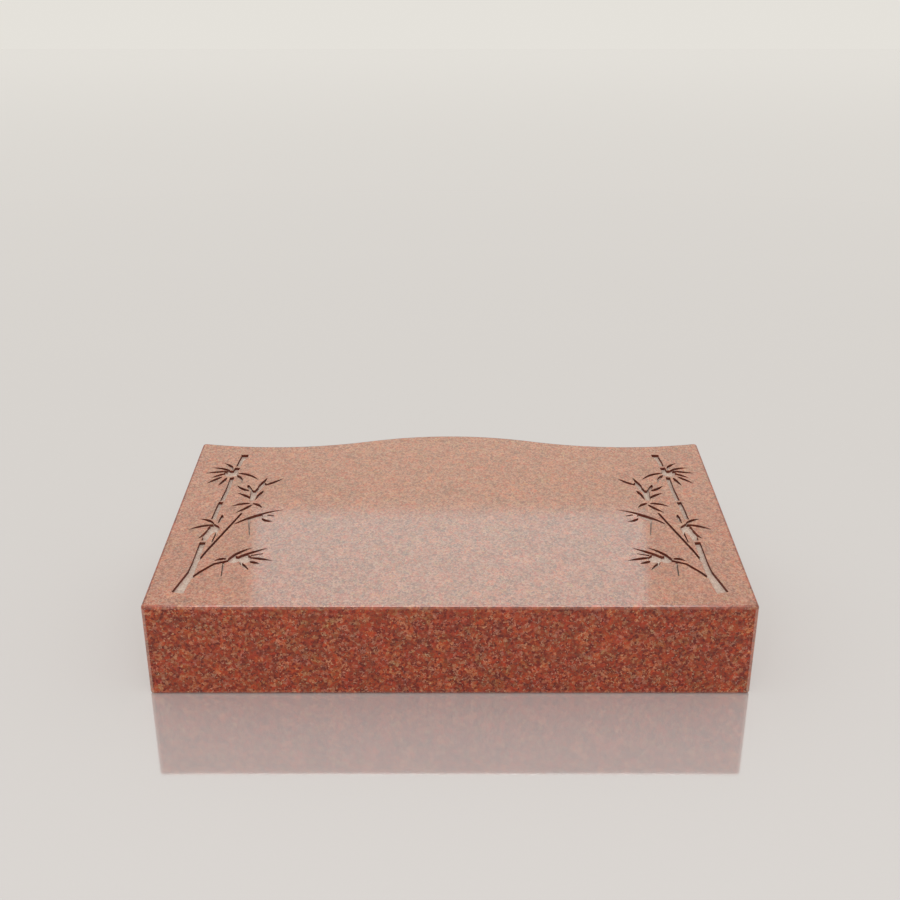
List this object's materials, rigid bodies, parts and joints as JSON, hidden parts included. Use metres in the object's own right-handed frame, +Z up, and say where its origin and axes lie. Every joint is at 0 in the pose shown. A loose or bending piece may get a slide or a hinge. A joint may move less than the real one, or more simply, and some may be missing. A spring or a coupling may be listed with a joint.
{
  "type": "bevel grave marker",
  "caption": "Low granite grave marker with a sloping polished top, a serpentine back edge and a sunk bamboo spray at each end.",
  "frame": {"origin": "centre of the bounding box, on the ground under the stone", "axes": "+X along the stone to its right end, +Y from the low front face to the serpentine back, +Z up"},
  "size_m": [0.6096, 0.322, 0.1548],
  "materials": {
    "red_granite": "polished"
  },
  "bodies": {
    "root": {"marker_stone": "red_granite"}
  },
  "joints": []
}
